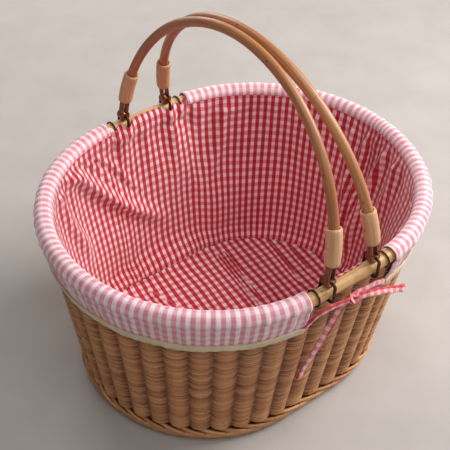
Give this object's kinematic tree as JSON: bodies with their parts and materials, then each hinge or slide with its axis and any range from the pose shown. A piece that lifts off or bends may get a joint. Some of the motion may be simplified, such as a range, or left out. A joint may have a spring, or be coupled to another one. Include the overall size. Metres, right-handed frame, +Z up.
{
  "type": "wicker picnic basket",
  "caption": "Oval open wicker picnic basket with a folded-over checked cloth liner tied at the sides and two folding bentwood handles.",
  "frame": {"origin": "middle of the foot's underside, on the surface the basket stands on", "axes": "+Z up, X along the basket's length, Y across it along the two handle hinge lines"},
  "size_m": [0.419, 0.3536, 0.3864],
  "materials": {
    "wicker": "satin",
    "cane": "satin",
    "peel": "satin",
    "strap": "satin",
    "wire": "satin",
    "brass": "satin",
    "check_cloth": "matte",
    "band_cloth": "matte"
  },
  "bodies": {
    "basket": {"base_weave": "wicker", "base_sticks": "wicker", "stakes": "wicker", "foot_border": "wicker", "wall_weave": "wicker", "rim_waling": "wicker", "rim_pole": "cane", "rim_tie_wires": "wire", "link_left_front": "wire", "link_left_back": "wire", "link_right_front": "wire", "link_right_back": "wire", "liner_floor": "check_cloth", "liner_wall": "check_cloth", "cuff_left": "check_cloth", "cuff_right": "check_cloth", "band_left": "band_cloth", "band_right": "band_cloth", "knot_front": "check_cloth", "knot_back": "check_cloth", "tail_front": "check_cloth", "drop_front": "check_cloth", "tail_back": "check_cloth", "drop_back": "check_cloth"},
    "left_handle": {"cane_left": "cane", "collar_left_front": "peel", "collar_left_back": "peel", "eye_left_front": "strap", "eye_left_back": "strap", "bush_left_front": "brass", "bush_left_back": "brass", "pins_left": "brass"},
    "right_handle": {"cane_right": "cane", "collar_right_front": "peel", "collar_right_back": "peel", "eye_right_front": "strap", "eye_right_back": "strap", "bush_right_front": "brass", "bush_right_back": "brass", "pins_right": "brass"}
  },
  "joints": [
    {"name": "left_handle_fold", "type": "hinge", "parent": "basket", "child": "left_handle", "pos_m": [-0.028, 0, 0.219], "axis": [0, -1, 0], "range_deg": [0, 86]},
    {"name": "right_handle_fold", "type": "hinge", "parent": "basket", "child": "right_handle", "pos_m": [0.028, 0, 0.219], "axis": [0, 1, 0], "range_deg": [0, 86]}
  ]
}
